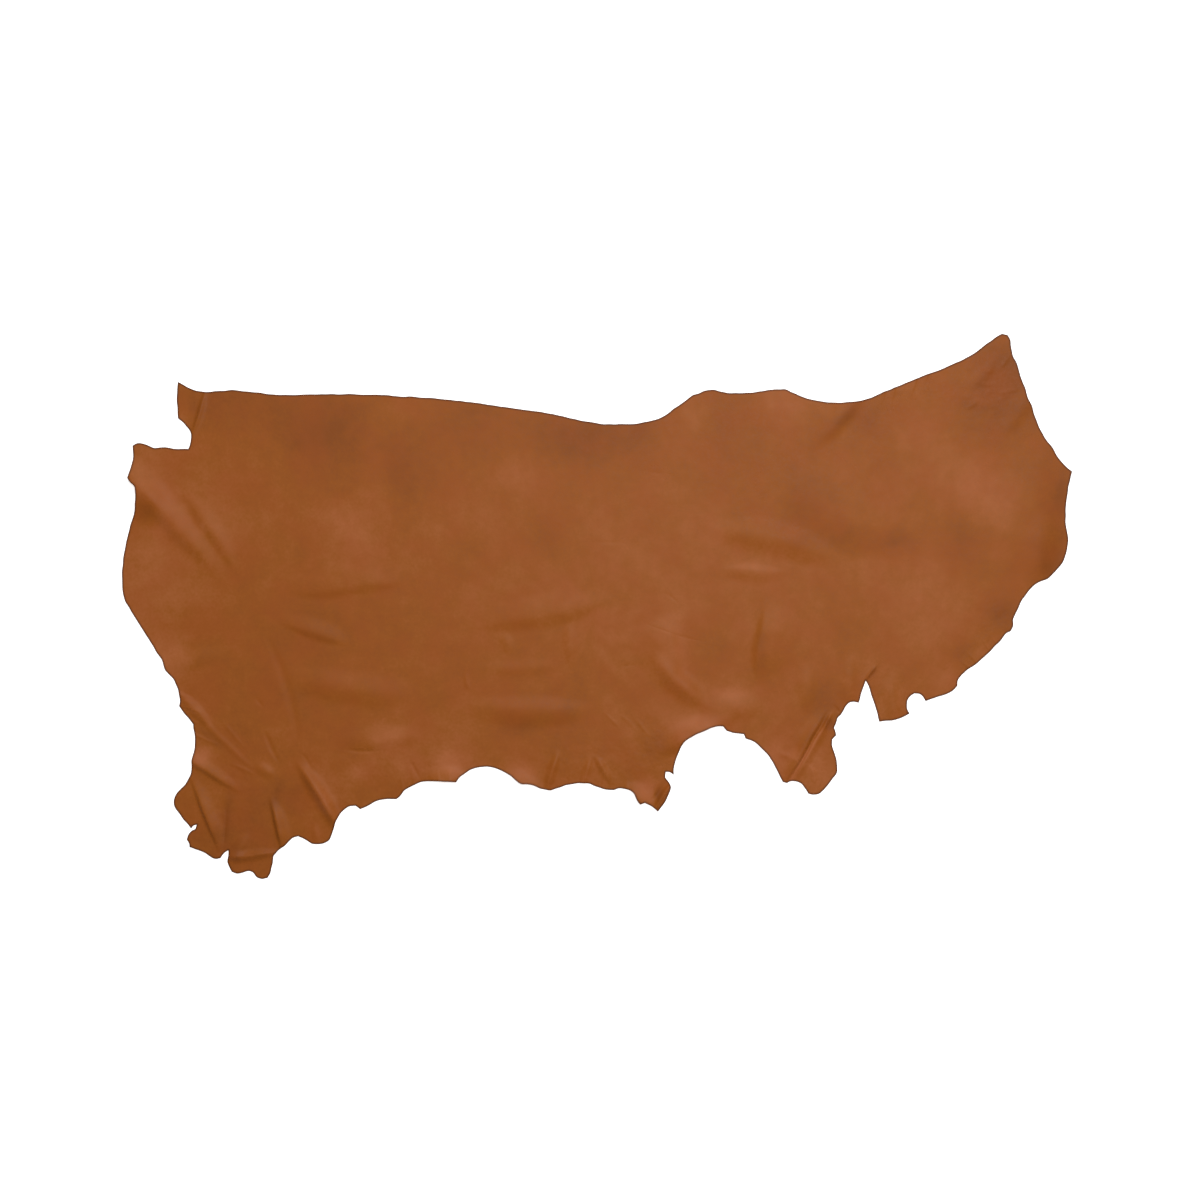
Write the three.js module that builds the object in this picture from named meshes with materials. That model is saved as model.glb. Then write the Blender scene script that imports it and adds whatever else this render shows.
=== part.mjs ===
// Leather side: half of a tanned cattle hide, cut along the backbone and laid out with its grain up.
// Millimetres, +Z up. The back line runs along +X with the neck at -X, and the sheet lies on z = 0.
import * as THREE from "three";

// The sheet and its colour
const THICKNESS = 2;
const LEATHER_BROWN = 0x94552c;
const LEATHER_ROUGHNESS = 0.6;

// Spacing of the mesh points: along the cut edge, over the flat sheet, and on the folds
const EDGE_STEP = 15;
const PLAIN_STEP = 62;
const FOLD_STEP_PER_REACH = 0.8;
const FOLD_ROWS = [0, -0.42, 0.42, -0.9, 0.9];
const CLEAR_OF_EDGE = 9;
const CLEAR_ON_FOLD = 0.2;
const CLEAR_ON_PLAIN = 0.68;
const THINNEST_SLIVER = 0.2;

// How far the points of the flat sheet are nudged off line, how the nudge turns from row to row and from
// step to step, and the size of the triangle that the mesh starts from, in lengths of the sheet
const NUDGE = 0.6;
const ROW_TURN = 5;
const STEP_TURN = 3;
const START_LENGTHS = 20;

// Form of a fold: the share of its length that each end takes to rise, and the share of its width that is
// left at the tips
const END_SHARE = 0.42;
const TIP_WIDTH = 0.6;

// The cut edge, from the poll corner along the back line and on round the hide. Each stretch is a smooth
// curve through its points to the first point of the next stretch, where the edge has a corner.
const EDGE = [
  { stretch: "back line, neck",
    through: [[-1048, 561], [-1030, 552], [-1005, 541], [-974, 537], [-912, 541], [-868, 537], [-792, 529]] },
  { stretch: "back line, shoulder",
    through: [[-735, 530], [-612, 531], [-492, 526], [-388, 519], [-312, 510], [-225, 498], [-145, 487]] },
  { stretch: "back line, dip",
    through: [[-110, 481], [-48, 467], [5, 458], [51, 456], [95, 457], [151, 469], [175, 481], [196, 497]] },
  { stretch: "back line, loin",
    through: [[215, 510], [237, 527], [256, 534], [273, 541], [299, 541], [318, 535], [380, 535],
      [447, 543]] },
  { stretch: "back line, hip",
    through: [[471, 543], [495, 532], [524, 521], [572, 511], [600, 510], [647, 513], [682, 521],
      [707, 532]] },
  { stretch: "back line, rump",
    through: [[787, 566], [875, 600], [932, 627], [960, 646], [1004, 678], [1017, 683], [1028, 677]] },
  { stretch: "tail corner",
    through: [[1033, 666], [1040, 626], [1049, 609], [1061, 569], [1071, 545], [1076, 522]] },
  { stretch: "butt edge, upper",
    through: [[1084, 508], [1091, 485], [1107, 446], [1121, 419], [1132, 408], [1158, 365], [1172, 350]] },
  { stretch: "butt edge, lower",
    through: [[1187, 338], [1183, 319], [1174, 270], [1172, 214], [1177, 164], [1167, 116], [1150, 92]] },
  { stretch: "butt notch",
    through: [[1127, 70], [1103, 60], [1086, 47], [1063, 17], [1051, -6]] },
  { stretch: "butt tab",
    through: [[1040, -33], [1041, -41], [1039, -51], [1031, -65]] },
  { stretch: "thigh edge",
    through: [[1025, -66], [985, -109], [957, -136], [930, -155], [910, -172]] },
  { stretch: "thigh lobe",
    through: [[902, -184], [903, -192], [897, -204], [886, -212], [870, -220], [847, -227]] },
  { stretch: "round nick",
    through: [[822, -236], [811, -221], [796, -216], [786, -220]] },
  { stretch: "hock tab, side",
    through: [[776, -234], [776, -256]] },
  { stretch: "hock tab, end",
    through: [[782, -267], [760, -278], [732, -285]] },
  { stretch: "slit, tail side",
    through: [[706, -287], [699, -260], [686, -222], [680, -200]] },
  { stretch: "slit, head side",
    through: [[672, -185], [663, -210]] },
  { stretch: "hind flap, shoulder",
    through: [[653, -240], [637, -238], [625, -244], [619, -254]] },
  { stretch: "hind flap, nick",
    through: [[609, -270], [605, -269], [599, -287]] },
  { stretch: "hind flap, nub",
    through: [[592, -302], [595, -311]] },
  { stretch: "hind flap, tail side",
    through: [[597, -322], [591, -327], [587, -340], [597, -379], [600, -413], [587, -433], [567, -457]] },
  { stretch: "hind flap, end",
    through: [[554, -468], [532, -471], [522, -458], [512, -444], [500, -438]] },
  { stretch: "hind flap, crease end",
    through: [[485, -437], [480, -442]] },
  { stretch: "flank edge",
    through: [[464, -438], [445, -400], [431, -376], [414, -357], [394, -339]] },
  { stretch: "flank nick",
    through: [[371, -329]] },
  { stretch: "bay, tail lip",
    through: [[367, -319], [330, -313], [320, -308]] },
  { stretch: "bay, hollow",
    through: [[315, -299], [297, -300], [271, -309], [232, -328], [218, -339], [207, -358], [193, -397]] },
  { stretch: "curled flap, root",
    through: [[192, -419], [184, -414]] },
  { stretch: "curled flap, tail side",
    through: [[171, -413], [172, -430], [180, -440], [184, -451], [178, -473], [163, -499]] },
  { stretch: "curled flap, end",
    through: [[152, -513], [141, -503], [123, -491], [116, -490]] },
  { stretch: "curled flap, head side",
    through: [[108, -495], [101, -486], [90, -465]] },
  { stretch: "belly, hind end",
    through: [[82, -459], [59, -454], [34, -459], [7, -453], [-17, -444], [-57, -443], [-92, -451]] },
  { stretch: "belly, middle",
    through: [[-117, -460], [-142, -454], [-167, -445], [-192, -443], [-216, -423], [-260, -402],
      [-297, -401]] },
  { stretch: "belly, step",
    through: [[-324, -413], [-342, -426]] },
  { stretch: "belly, fore end",
    through: [[-352, -439], [-436, -437], [-455, -445], [-479, -458], [-492, -474]] },
  { stretch: "elbow, upper",
    through: [[-501, -481], [-542, -483], [-567, -495]] },
  { stretch: "elbow, lobe",
    through: [[-592, -507], [-606, -497], [-633, -507], [-643, -520], [-656, -546], [-670, -584],
      [-690, -593]] },
  { stretch: "elbow, inner step",
    through: [[-712, -593], [-730, -582], [-752, -573], [-758, -576], [-777, -594], [-790, -604]] },
  { stretch: "fore shank, inner toe",
    through: [[-809, -624], [-812, -646], [-821, -676], [-833, -682], [-852, -675], [-862, -663]] },
  { stretch: "fore shank, middle toe",
    through: [[-872, -662], [-895, -667], [-909, -667], [-919, -649], [-924, -631], [-919, -616]] },
  { stretch: "fore shank, outer toe",
    through: [[-921, -609], [-931, -616], [-941, -629], [-957, -629], [-980, -616], [-1007, -605]] },
  { stretch: "fore shank, hooked nick",
    through: [[-1019, -601], [-1016, -595], [-1024, -589], [-1025, -580], [-1017, -564], [-1002, -554]] },
  { stretch: "fore shank, nick lip",
    through: [[-1000, -544], [-1008, -547]] },
  { stretch: "fore shank, head side",
    through: [[-1014, -555], [-1055, -501], [-1058, -484], [-1052, -469], [-1027, -440], [-1014, -411]] },
  { stretch: "brisket edge",
    through: [[-1013, -385], [-1007, -359], [-1005, -329]] },
  { stretch: "brisket nick",
    through: [[-1009, -305], [-1005, -299], [-1011, -292], [-1034, -263]] },
  { stretch: "throat edge, lower",
    through: [[-1044, -248], [-1042, -236], [-1052, -195], [-1059, -179], [-1081, -158], [-1088, -134]] },
  { stretch: "throat edge, upper",
    through: [[-1104, -109], [-1167, -7], [-1184, 26], [-1187, 78], [-1180, 146], [-1166, 207],
      [-1156, 235]] },
  { stretch: "cheek, side",
    through: [[-1152, 274], [-1155, 299], [-1172, 320], [-1165, 346], [-1160, 376]] },
  { stretch: "cheek, top",
    through: [[-1161, 402], [-1151, 408], [-1130, 406], [-1105, 397], [-1084, 399], [-1057, 395]] },
  { stretch: "poll notch",
    through: [[-1022, 394], [-1014, 421], [-1017, 440], [-1035, 459]] },
  { stretch: "poll side",
    through: [[-1047, 471], [-1050, 499], [-1050, 529]] },
];

// The main folds. Each runs from one end to the other and is bowed to the left of that way at mid length.
// Reach is the half width, rise the height of the crest, lean the share by which the left flank is wider
// than the right, and round how blunt the crest is. A fold that runs off the sheet starts or ends beyond
// the cut edge.
const FOLDS = [
  { fold: "poll fold", from: [-967, 556], to: [-1019, 404], bow: 0,
    reach: 13, rise: 3, lean: 0.2, round: 0.4 },
  { fold: "cheek fold, lower", from: [-1205, 372], to: [-930, 65], bow: 0,
    reach: 44, rise: 7.5, lean: 0.15, round: 0.5 },
  { fold: "cheek dart", from: [-1240, 375], to: [-1066, 204], bow: 0,
    reach: 72, rise: 12, lean: 0.05, round: 0.4 },
  { fold: "cheek fold, upper", from: [-1044, 295], to: [-904, 87], bow: 6,
    reach: 33, rise: 4, lean: 0.25, round: 0.7 },
  { fold: "throat fold", from: [-1118, -154], to: [-930, -109], bow: 0,
    reach: 36, rise: 2.5, lean: 0, round: 0.9 },
  { fold: "shoulder line", from: [-785, 38], to: [-460, 68], bow: 0,
    reach: 46, rise: 4.2, lean: 0.35, round: 0.9 },
  { fold: "shoulder fold, short", from: [-800, -36], to: [-610, -98], bow: 4,
    reach: 32, rise: 3.4, lean: 0.3, round: 0.8 },
  { fold: "shoulder fold, long", from: [-785, -177], to: [-440, -221], bow: -7,
    reach: 50, rise: 4.5, lean: 0.05, round: 0.9 },
  { fold: "shoulder swell", from: [-862, -396], to: [-800, -431], bow: 0,
    reach: 20, rise: 3, lean: 0, round: 0.6 },
  { fold: "middle fold", from: [-335, -50], to: [64, 22], bow: -5,
    reach: 46, rise: 4.2, lean: 0.2, round: 0.9 },
  { fold: "middle fold, lower", from: [-315, -154], to: [-78, -154], bow: 0,
    reach: 26, rise: 1.4, lean: 0, round: 0.9 },
  { fold: "middle pucker", from: [-72, -34], to: [-62, -159], bow: 0,
    reach: 26, rise: 3.2, lean: 0, round: 0.8 },
  { fold: "belly fold", from: [-340, -252], to: [5, -252], bow: -8,
    reach: 46, rise: 5.2, lean: -0.1, round: 0.9 },
  { fold: "belly swell", from: [-655, -339], to: [-418, -324], bow: 0,
    reach: 38, rise: 3, lean: 0.2, round: 0.9 },
  { fold: "belly lip, fore", from: [-442, -459], to: [-318, -424], bow: 0,
    reach: 46, rise: 13, lean: 0, round: 0.5 },
  { fold: "belly lip, middle", from: [-250, -414], to: [-130, -471], bow: 0,
    reach: 40, rise: 9, lean: 0, round: 0.5 },
  { fold: "belly pleat, fore", from: [-92, -352], to: [-132, -471], bow: 0,
    reach: 17, rise: 6, lean: 0, round: 0.5 },
  { fold: "belly pleat, middle", from: [-8, -364], to: [-50, -469], bow: 0,
    reach: 15, rise: 3.5, lean: 0, round: 0.7 },
  { fold: "belly pleat, hind", from: [-5, -369], to: [42, -454], bow: 0,
    reach: 15, rise: 4, lean: 0, round: 0.6 },
  { fold: "loin fold", from: [262, 192], to: [622, 108], bow: 21,
    reach: 50, rise: 6, lean: -0.05, round: 0.9 },
  { fold: "loin fold, small", from: [302, 91], to: [480, 81], bow: 3,
    reach: 27, rise: 2.3, lean: -0.3, round: 0.9 },
  { fold: "hip swell", from: [426, 355], to: [780, 140], bow: -10,
    reach: 105, rise: 4.5, lean: 0, round: 1 },
  { fold: "hip fold", from: [677, 556], to: [525, 383], bow: 0,
    reach: 44, rise: 4.8, lean: -0.1, round: 0.8 },
  { fold: "flank step", from: [424, 31], to: [399, -199], bow: 0,
    reach: 60, rise: 6, lean: 0.62, round: 0.5 },
  { fold: "flank fold, upper", from: [178, -16], to: [190, -194], bow: 0,
    reach: 75, rise: 5.5, lean: -0.47, round: 0.7 },
  { fold: "flank fold, lower", from: [128, -113], to: [288, -258], bow: -8,
    reach: 40, rise: 8, lean: 0, round: 0.6 },
  { fold: "bay swell", from: [232, -264], to: [420, -249], bow: 0,
    reach: 42, rise: 3, lean: 0, round: 0.9 },
  { fold: "bay lip", from: [130, -382], to: [352, -276], bow: 8,
    reach: 42, rise: 9, lean: 0.1, round: 0.5 },
  { fold: "curled flap fold", from: [208, -413], to: [121, -538], bow: 0,
    reach: 12, rise: 7, lean: 0, round: 0.4 },
  { fold: "curled flap lip", from: [70, -446], to: [128, -514], bow: 0,
    reach: 40, rise: 8, lean: 0, round: 0.6 },
  { fold: "hind flap fold", from: [580, -251], to: [452, -459], bow: 0,
    reach: 22, rise: 7, lean: -0.45, round: 0.4 },
  { fold: "hind flap rim", from: [599, -251], to: [471, -459], bow: 0,
    reach: 15, rise: 5, lean: 0.45, round: 0.3 },
  { fold: "hind flap root", from: [522, -134], to: [528, -271], bow: 0,
    reach: 34, rise: 3, lean: 0, round: 0.9 },
  { fold: "slit fold, head side", from: [638, -109], to: [625, -271], bow: 0,
    reach: 30, rise: 3, lean: 0, round: 0.9 },
  { fold: "slit fold, tail side", from: [735, -160], to: [748, -318], bow: 0,
    reach: 28, rise: 3, lean: 0, round: 0.8 },
  { fold: "rump fold, upper", from: [1000, 620], to: [930, 540], bow: 0,
    reach: 28, rise: 2, lean: 0, round: 0.7 },
  { fold: "rump fold, lower", from: [1106, 552], to: [1000, 420], bow: 0,
    reach: 36, rise: 2.2, lean: -0.2, round: 0.9 },
  { fold: "butt swell", from: [1090, 420], to: [1080, 30], bow: 0,
    reach: 120, rise: 6, lean: -0.15, round: 0.9 },
  { fold: "butt lip", from: [1130, 260], to: [1085, 30], bow: 0,
    reach: 48, rise: 3.5, lean: 0, round: 0.8 },
  { fold: "brisket fold", from: [-1062, -200], to: [-958, -312], bow: 0,
    reach: 20, rise: 4.5, lean: 0, round: 0.8 },
  { fold: "shank fold, middle", from: [-1010, -262], to: [-845, -422], bow: 0,
    reach: 13, rise: 1.2, lean: 0, round: 0.6 },
  { fold: "shank fold, upper", from: [-1080, -346], to: [-880, -468], bow: 0,
    reach: 22, rise: 5.5, lean: 0.3, round: 0.4 },
  { fold: "shank fold, lower", from: [-1018, -414], to: [-938, -626], bow: 0,
    reach: 25, rise: 7, lean: 0.5, round: 0.4 },
  { fold: "toe notch", from: [-922, -654], to: [-872, -564], bow: 0,
    reach: 24, rise: 4, lean: 0.2, round: 0.9 },
  { fold: "toe fold, side", from: [-817, -471], to: [-782, -624], bow: 0,
    reach: 22, rise: 9, lean: 0.4, round: 0.4 },
  { fold: "toe fold", from: [-965, -628], to: [-765, -611], bow: 0,
    reach: 17, rise: 6, lean: 0, round: 0.25 },
  { fold: "elbow fold", from: [-756, -382], to: [-624, -588], bow: 4,
    reach: 30, rise: 13, lean: 0.1, round: 0.3 },
];

// Points of the cut edge, evenly spaced between the points of each stretch.
function edgePoints() {
  return EDGE.flatMap(({ through }, index) => {
    const next = EDGE[(index + 1) % EDGE.length].through[0];
    const places = [...through, next].map(([x, y]) => new THREE.Vector3(x, y, 0));
    const curve = new THREE.CatmullRomCurve3(places, false, "centripetal");
    const steps = Math.max(places.length - 1, Math.ceil(curve.getLength() / EDGE_STEP));
    return curve.getSpacedPoints(steps).slice(0, -1);
  });
}

// Whether a place is within the cut edge, by the number of crossings to one side of it.
function isInside(edge, x, y) {
  let inside = false;
  edge.forEach((a, index) => {
    const b = edge[(index + 1) % edge.length];
    const crosses = a.y > y !== b.y > y;
    if (crosses && x < a.x + ((b.x - a.x) * (y - a.y)) / (b.y - a.y)) inside = !inside;
  });
  return inside;
}

// The straight line between a fold's ends, with its length and the direction to its left.
function foldLine({ from, to }) {
  const start = new THREE.Vector2(...from);
  const way = new THREE.Vector2(...to).sub(start);
  const length = way.length();
  way.divideScalar(length);
  return { start, way, left: new THREE.Vector2(-way.y, way.x), length };
}

const bowAt = (fold, along) => 4 * fold.bow * along * (1 - along);

// Share of a fold's full size at a place along it, which falls to nothing at both ends.
const sizeAt = (along) => THREE.MathUtils.smoothstep(Math.min(along, 1 - along), 0, END_SHARE);

// Width of a fold's flank on its left (1) or right (-1) side, drawn in towards the tips.
function flankAt(fold, along, side) {
  return fold.reach * (1 + side * fold.lean) * (TIP_WIDTH + (1 - TIP_WIDTH) * sizeAt(along));
}

// Cross-section of a fold: 1 on the crest and 0 at the foot of the flank, blunter as round grows.
function sectionAt(across, round) {
  const fall = (Math.hypot(across, round) - round) / (Math.hypot(1, round) - round);
  return fall < 1 ? (1 - fall) ** 2 : 0;
}

// Height of one fold over a place: its cross-section, tapered to nothing at both ends.
function foldHeight(fold, x, y) {
  const { start, way, left, length } = foldLine(fold);
  const offset = new THREE.Vector2(x, y).sub(start);
  const along = offset.dot(way) / length;
  if (along <= 0 || along >= 1) return 0;
  const sideways = offset.dot(left) - bowAt(fold, along);
  const across = Math.abs(sideways) / flankAt(fold, along, Math.sign(sideways));
  return fold.rise * sizeAt(along) * sectionAt(across, fold.round);
}

const sheetHeight = (x, y) => FOLDS.reduce((sum, fold) => sum + foldHeight(fold, x, y), 0);

// Places for mesh points in rows along a fold.
function foldPoints(fold) {
  const { start, way, left, length } = foldLine(fold);
  const steps = Math.ceil(length / Math.min(FOLD_STEP_PER_REACH * fold.reach, PLAIN_STEP));
  return FOLD_ROWS.flatMap((row) =>
    Array.from({ length: steps }, (_, step) => {
      const along = (step + 0.5) / steps;
      const sideways = bowAt(fold, along) + row * flankAt(fold, along, Math.sign(row));
      return start.clone().addScaledVector(way, along * length).addScaledVector(left, sideways);
    }),
  );
}

// Places for mesh points over the flat sheet, in staggered rows that are nudged a little off line.
function plainPoints(box) {
  const places = [];
  const rowStep = (PLAIN_STEP * Math.sqrt(3)) / 2;
  for (let row = 0; box.min.y + row * rowStep < box.max.y; row++) {
    for (let step = (row % 2) / 2; box.min.x + step * PLAIN_STEP < box.max.x; step++) {
      const turn = ROW_TURN * row + STEP_TURN * step;
      const x = box.min.x + step * PLAIN_STEP + NUDGE * Math.cos(turn);
      const y = box.min.y + row * rowStep + NUDGE * Math.sin(turn);
      places.push(new THREE.Vector2(x, y));
    }
  }
  return places;
}

// The mesh points: the cut edge first, then the folds, then the flat sheet, none too near another.
function meshPoints(edge, box) {
  const points = edge.map(({ x, y }) => new THREE.Vector2(x, y));
  const isClear = (place, gap, others) => others.every((other) => other.distanceTo(place) > gap);
  const edgeOnly = [...points];
  const addClear = (places, gap) => {
    for (const place of places) {
      const free = isClear(place, CLEAR_OF_EDGE, edgeOnly) && isClear(place, gap, points);
      if (free && isInside(edge, place.x, place.y)) points.push(place);
    }
  };
  for (const fold of FOLDS) addClear(foldPoints(fold), CLEAR_ON_FOLD * fold.reach);
  addClear(plainPoints(box), CLEAR_ON_PLAIN * PLAIN_STEP);
  return points;
}

// A triangle of three point numbers, turned anticlockwise, with the circle through its corners.
function circled(points, corners) {
  const [a, b, c] = corners.map((corner) => points[corner]);
  const ab = b.clone().sub(a);
  const ac = c.clone().sub(a);
  const twice = 2 * ab.cross(ac);
  const centre = new THREE.Vector2(
    (ac.y * ab.lengthSq() - ab.y * ac.lengthSq()) / twice,
    (ab.x * ac.lengthSq() - ac.x * ab.lengthSq()) / twice,
  );
  const radiusSq = centre.lengthSq();
  const turned = twice > 0 ? corners : [corners[0], corners[2], corners[1]];
  return { corners: turned, centre: centre.add(a), radiusSq };
}

const sidesOf = ([a, b, c]) => [[a, b], [b, c], [c, a]];

// The sides of the triangles that no second triangle shares, each with its triangle on the left.
function openSides(triangles) {
  const open = new Map();
  for (const { corners } of triangles) {
    for (const [a, b] of sidesOf(corners)) {
      if (!open.delete(`${b},${a}`)) open.set(`${a},${b}`, [a, b]);
    }
  }
  return [...open.values()];
}

// Delaunay triangles: each point in turn opens the triangles whose circles hold it and fans out to their rim.
function triangulate(points, box) {
  const far = START_LENGTHS * (box.max.x - box.min.x);
  const frame = [[-far, -far], [far, -far], [0, far]].map(([x, y]) => new THREE.Vector2(x, y));
  const all = [...points, ...frame];
  const count = points.length;
  let triangles = [circled(all, [count, count + 1, count + 2])];
  points.forEach((point, index) => {
    const holds = ({ centre, radiusSq }) => centre.distanceToSquared(point) < radiusSq;
    const fan = openSides(triangles.filter(holds)).map(([a, b]) => circled(all, [a, b, index]));
    triangles = triangles.filter((triangle) => !holds(triangle)).concat(fan);
  });
  return triangles.filter(({ corners }) => corners.every((corner) => corner < count));
}

// Whether a triangle is leather: inside the cut edge, and no sliver between points of the edge itself.
function isLeather(points, edge, { corners }) {
  const [a, b, c] = corners.map((corner) => points[corner]);
  const longest = Math.max(a.distanceTo(b), b.distanceTo(c), c.distanceTo(a));
  const height = b.clone().sub(a).cross(c.clone().sub(a)) / longest;
  const onEdge = corners.every((corner) => corner < edge.length);
  const middle = a.clone().add(b).add(c).divideScalar(3);
  return isInside(edge, middle.x, middle.y) && !(onEdge && height < THINNEST_SLIVER);
}

// The closed sheet: the grain face over the folds, the flesh face under it, and the cut edge between them.
function sheetGeometry() {
  const edge = edgePoints();
  const box = new THREE.Box2().setFromPoints(edge);
  const points = meshPoints(edge, box);
  const triangles = triangulate(points, box).filter((triangle) => isLeather(points, edge, triangle));
  const flesh = points.map(({ x, y }) => [x, y, sheetHeight(x, y)]);
  const grain = flesh.map(([x, y, z]) => [x, y, z + THICKNESS]);
  const above = (corner) => corner + points.length;
  const faces = triangles.flatMap(({ corners: [a, b, c] }) => [
    [above(a), above(b), above(c)],
    [a, c, b],
  ]);
  const rim = openSides(triangles).flatMap(([a, b]) => [
    [a, b, above(b)],
    [a, above(b), above(a)],
  ]);
  const geometry = new THREE.BufferGeometry();
  geometry.setAttribute("position", new THREE.Float32BufferAttribute([...flesh, ...grain].flat(), 3));
  geometry.setIndex([...faces, ...rim].flat());
  const centre = box.getCenter(new THREE.Vector2());
  geometry.translate(-centre.x, -centre.y, 0);
  geometry.computeVertexNormals();
  return geometry;
}

const leather = new THREE.MeshStandardMaterial({
  color: LEATHER_BROWN,
  roughness: LEATHER_ROUGHNESS,
  metalness: 0,
});

const side = new THREE.Mesh(sheetGeometry(), leather);
side.name = "leather_side";

const group = new THREE.Group();
group.add(side);

export default group;
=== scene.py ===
"""Leather side: half of a tanned cattle hide, laid flat with its grain up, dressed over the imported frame.

The tables give millimetres in the frame's own axes: +X along the back line towards the tail, +Y from the
belly to the back line, +Z up. The sheet lies on z = 0.
"""

import logging
import math
from dataclasses import dataclass
from enum import Enum, IntEnum
from typing import Any

import bmesh
import bpy
import numpy as np
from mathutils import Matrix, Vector, geometry, kdtree, noise


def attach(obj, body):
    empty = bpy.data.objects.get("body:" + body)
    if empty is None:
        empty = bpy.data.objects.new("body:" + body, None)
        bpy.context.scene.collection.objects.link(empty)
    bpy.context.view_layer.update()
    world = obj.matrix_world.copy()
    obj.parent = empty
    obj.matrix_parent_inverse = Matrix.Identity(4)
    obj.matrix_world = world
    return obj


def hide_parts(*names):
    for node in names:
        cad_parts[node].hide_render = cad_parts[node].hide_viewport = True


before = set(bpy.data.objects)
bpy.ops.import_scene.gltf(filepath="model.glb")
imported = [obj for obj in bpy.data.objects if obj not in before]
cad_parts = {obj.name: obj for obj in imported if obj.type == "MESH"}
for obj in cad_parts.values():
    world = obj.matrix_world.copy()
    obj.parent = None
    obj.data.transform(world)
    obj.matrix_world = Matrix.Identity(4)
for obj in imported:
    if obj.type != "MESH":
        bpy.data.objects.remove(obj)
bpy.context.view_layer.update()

LOG = logging.getLogger("leather_side")
NODE = "leather_side"
BODY = "root"

MM = 0.001

# Form of a fold, as in the frame's sheet: the share of its length that each end takes to rise, and the
# share of its width that is left at the tips
END_SHARE = 0.42
TIP_WIDTH = 0.6

# Scales share * (1 - share) to 1 at mid length
BOW_SCALE = 4.0

# Mesh spacing on a fold, as a share of the flank, the least that is worth having, and how far it goes
STEP_ON_FOLD = 0.38
FINEST_STEP = 4.0
FOLD_MARGIN = 1.1

# Vertices closer together than this are one, and the least upward turn of a face of the grain side
WELD_GAP = 0.01
UPWARD = 0.1

# How much longer than another a ripple of a row may be, and how the lengths change along the row
RIPPLE_SPREAD = 0.35
RIPPLE_TURN = 2.4

# What the strays of the folds and of the cut edge are drawn from, the same in every run
NOISE_SEED = 323

# The middle of a noise pattern, and the limits that nearly all of it lies between
NOISE_MIDDLE = 0.5
NOISE_LOW = 0.3
NOISE_HIGH = 0.7


class Face(IntEnum):
    """The faces of the sheet, in the order of their material slots."""

    GRAIN = 0
    FLESH = 1
    CUT_EDGE = 2


class Sheet(str, Enum):
    """The attributes that the sheet carries for its finish."""

    EDGE_GAP = "edge_gap"
    TONE = "tone"
    CRUMPLE = "crumple"


class Mix(IntEnum):
    """Socket numbers of a colour Mix node."""

    FACTOR = 0
    FIRST = 6
    SECOND = 7
    RESULT = 2


def smooth_step(share: np.ndarray) -> np.ndarray:
    """A smooth rise from 0 to 1.

    Args:
        share: how far the rise has come, from 0 to 1.

    Returns:
        The height of the rise there.
    """
    held = np.clip(share, 0.0, 1.0)
    return held * held * (3.0 - 2.0 * held)


@dataclass(frozen=True)
class Fold:
    """One fold of the sheet, or one wrinkle of its grain: a ridge or trough with pointed ends.

    Attributes:
        name: what it is called on the hide.
        start: one end of its crest.
        end: the other end of its crest.
        reach: half its width.
        rise: the height of its crest, negative for a trough.
        bow: how far the crest bends to the left of its way at mid length.
        lean: the share by which its left flank is wider than its right one.
        blunt: how round its crest is.
    """

    name: str
    start: tuple[float, float]
    end: tuple[float, float]
    reach: float
    rise: float
    bow: float = 0.0
    lean: float = 0.0
    blunt: float = 0.4

    def lay_over(self, places: np.ndarray) -> tuple[np.ndarray, np.ndarray, np.ndarray]:
        """Finds where places lie on the fold.

        Args:
            places: flat places as rows of x and y, in millimetres.

        Returns:
            The share of the fold's full size there, the width of its flank, and how far across that flank
            each place lies.
        """
        start = np.array(self.start)
        way = np.array(self.end) - start
        length = math.hypot(*way)
        way = way / length
        left = np.array((-way[1], way[0]))
        offset = places - start
        along = offset @ way / length
        size = smooth_step(np.minimum(along, 1.0 - along) / END_SHARE)
        sideways = offset @ left - BOW_SCALE * self.bow * along * (1.0 - along)
        flank = self.reach * (1.0 + np.sign(sideways) * self.lean) * (TIP_WIDTH + (1.0 - TIP_WIDTH) * size)
        return size, flank, np.abs(sideways) / flank

    def height(self, places: np.ndarray) -> np.ndarray:
        """Works out the fold's height over places.

        Args:
            places: flat places as rows of x and y, in millimetres.

        Returns:
            The height at each place, in millimetres.
        """
        size, _, across = self.lay_over(places)
        blunt = self.blunt
        fall = (np.hypot(across, blunt) - blunt) / (math.hypot(1.0, blunt) - blunt)
        section = np.clip(1.0 - fall, 0.0, 1.0) ** 2
        return self.rise * size * section

    def spacing(self, places: np.ndarray, plain: float) -> np.ndarray:
        """Works out how close together the mesh has to be to show the fold.

        Args:
            places: flat places as rows of x and y, in millimetres.
            plain: the spacing away from any fold.

        Returns:
            The spacing at each place, in millimetres.
        """
        size, flank, across = self.lay_over(places)
        fine = np.clip(flank * STEP_ON_FOLD, FINEST_STEP, plain)
        return np.where((size > 0.0) & (across < FOLD_MARGIN), fine, plain)


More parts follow.
